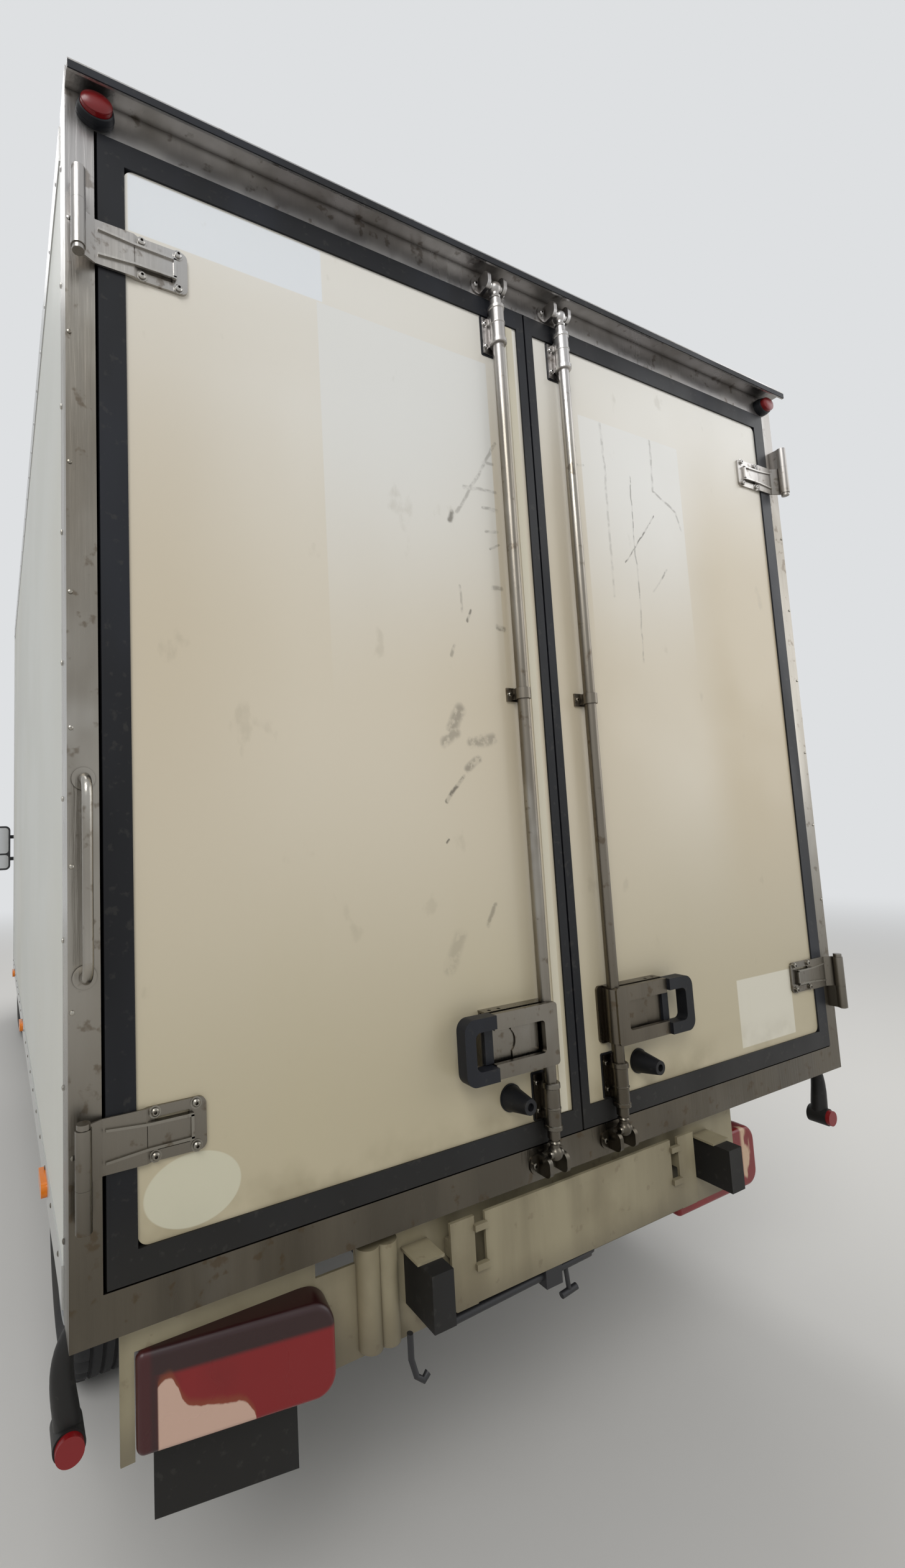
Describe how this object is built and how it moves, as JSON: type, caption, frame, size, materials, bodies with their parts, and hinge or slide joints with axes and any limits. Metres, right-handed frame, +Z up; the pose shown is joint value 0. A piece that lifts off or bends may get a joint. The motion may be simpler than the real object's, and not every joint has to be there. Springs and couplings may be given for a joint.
{
  "type": "light refrigerated truck",
  "caption": "Short-bonnet light truck with an insulated box, cooling unit over the cab and swinging rear doors.",
  "frame": {"origin": "on the floor, midway between the sides and between the rearmost and foremost points", "axes": "+X to the truck's right, +Y to its front, +Z up"},
  "size_m": [2.4, 5.6898, 2.8489],
  "materials": {
    "stainless": "brushed, blotchy reflections",
    "white_panel": "white laminate, yellowed and scuffed",
    "cab_paint": "white gloss paint",
    "bumper_paint": "cream paint, dusty",
    "frame_paint": "black chassis paint",
    "rubber": "black rubber",
    "black_plastic": "grained black plastic",
    "red_lens": "red lens",
    "clear_lens": "clear lens",
    "glass": "tinted safety glass",
    "tyre": "tyre rubber",
    "wheel_paint": "silver wheel paint",
    "seat_fabric": "woven seat fabric",
    "cast": "cast surface",
    "unit_plastic": "white moulded cover"
  },
  "bodies": {
    "truck": {"chassis_frame": "frame_paint", "box_bearers": "frame_paint", "box_floor": "white_panel", "box_side_walls": "white_panel", "box_front_wall": "white_panel", "box_roof": "white_panel", "rear_frame": "stainless", "rear_bumper": "bumper_paint", "rear_lamps": "red_lens", "rear_rubber": "rubber", "cooling_unit": "unit_plastic", "cab_body": "cab_paint", "windscreen": "glass", "front_wings": "cab_paint", "front_bumper": "black_plastic", "grille": "black_plastic", "headlamps": "clear_lens", "dashboard": "black_plastic", "steering_wheel": "black_plastic", "seats": "seat_fabric", "engine_block": "cast", "front_suspension": "frame_paint", "rear_axle": "frame_paint", "mudguards": "black_plastic", "fuel_tank": "black_plastic"},
    "rear_door_left": {"rear_door_left": "white_panel", "rear_fittings_left": "stainless", "rear_door_rubber_left": "rubber"},
    "cab_door_left": {"cab_door_left": "cab_paint", "cab_glass_left": "glass", "door_mirror_left": "black_plastic"},
    "knuckle_left": {"knuckle_left": "cast"},
    "wheel_front_left": {"tyre_front_left": "tyre", "rim_front_left": "wheel_paint"},
    "wheel_rear_left": {"tyre_rear_left": "tyre", "rim_rear_left": "wheel_paint"},
    "rear_door_right": {"rear_door_right": "white_panel", "rear_fittings_right": "stainless", "rear_door_rubber_right": "rubber"},
    "cab_door_right": {"cab_door_right": "cab_paint", "cab_glass_right": "glass", "door_mirror_right": "black_plastic"},
    "knuckle_right": {"knuckle_right": "cast"},
    "wheel_front_right": {"tyre_front_right": "tyre", "rim_front_right": "wheel_paint"},
    "wheel_rear_right": {"tyre_rear_right": "tyre", "rim_rear_right": "wheel_paint"},
    "bonnet": {"bonnet": "cab_paint"},
    "tie_rod": {"tie_rod": "frame_paint"}
  },
  "joints": [
    {"name": "rear_door_left", "type": "hinge", "parent": "truck", "child": "rear_door_left", "pos_m": [-1.032, -2.815, 1.782], "axis": [0, 0, -1], "range_deg": [0, 265]},
    {"name": "cab_door_left", "type": "hinge", "parent": "truck", "child": "cab_door_left", "pos_m": [-0.997, 1.8515, 1.184], "axis": [0, 0, -1], "range_deg": [0, 68]},
    {"name": "rear_door_right", "type": "hinge", "parent": "truck", "child": "rear_door_right", "pos_m": [1.032, -2.815, 1.782], "axis": [0, 0, 1], "range_deg": [0, 265]},
    {"name": "cab_door_right", "type": "hinge", "parent": "truck", "child": "cab_door_right", "pos_m": [0.997, 1.8515, 1.184], "axis": [0, 0, 1], "range_deg": [0, 68]},
    {"name": "bonnet", "type": "hinge", "parent": "truck", "child": "bonnet", "pos_m": [0, 2.179, 1.321], "axis": [1, 0, 0], "range_deg": [0, 55]},
    {"name": "steer_left", "type": "hinge", "parent": "truck", "child": "knuckle_left", "pos_m": [-0.815, 1.995, 0.343], "axis": [0, 0, 1], "range_deg": [-35, 35]},
    {"name": "steer_right", "type": "hinge", "parent": "truck", "child": "knuckle_right", "pos_m": [0.815, 1.995, 0.343], "axis": [0, 0, 1], "range_deg": [-35, 35]},
    {"name": "tie_rod_swing", "type": "hinge", "parent": "knuckle_left", "child": "tie_rod", "pos_m": [-0.815, 1.875, 0.3], "axis": [0, 0, 1], "range_deg": [-35, 35]},
    {"name": "wheel_front_left", "type": "hinge", "parent": "knuckle_left", "child": "wheel_front_left", "pos_m": [-0.875, 1.995, 0.343], "axis": [-1, 0, 0], "continuous": true},
    {"name": "wheel_rear_left", "type": "hinge", "parent": "truck", "child": "wheel_rear_left", "pos_m": [-0.875, -1.685, 0.343], "axis": [-1, 0, 0], "continuous": true},
    {"name": "wheel_front_right", "type": "hinge", "parent": "knuckle_right", "child": "wheel_front_right", "pos_m": [0.875, 1.995, 0.343], "axis": [-1, 0, 0], "continuous": true},
    {"name": "wheel_rear_right", "type": "hinge", "parent": "truck", "child": "wheel_rear_right", "pos_m": [0.875, -1.685, 0.343], "axis": [-1, 0, 0], "continuous": true}
  ],
  "couplings": [
    {"joint": "steer_right", "follows": "steer_left", "ratio": 1},
    {"joint": "tie_rod_swing", "follows": "steer_left", "ratio": -1}
  ]
}
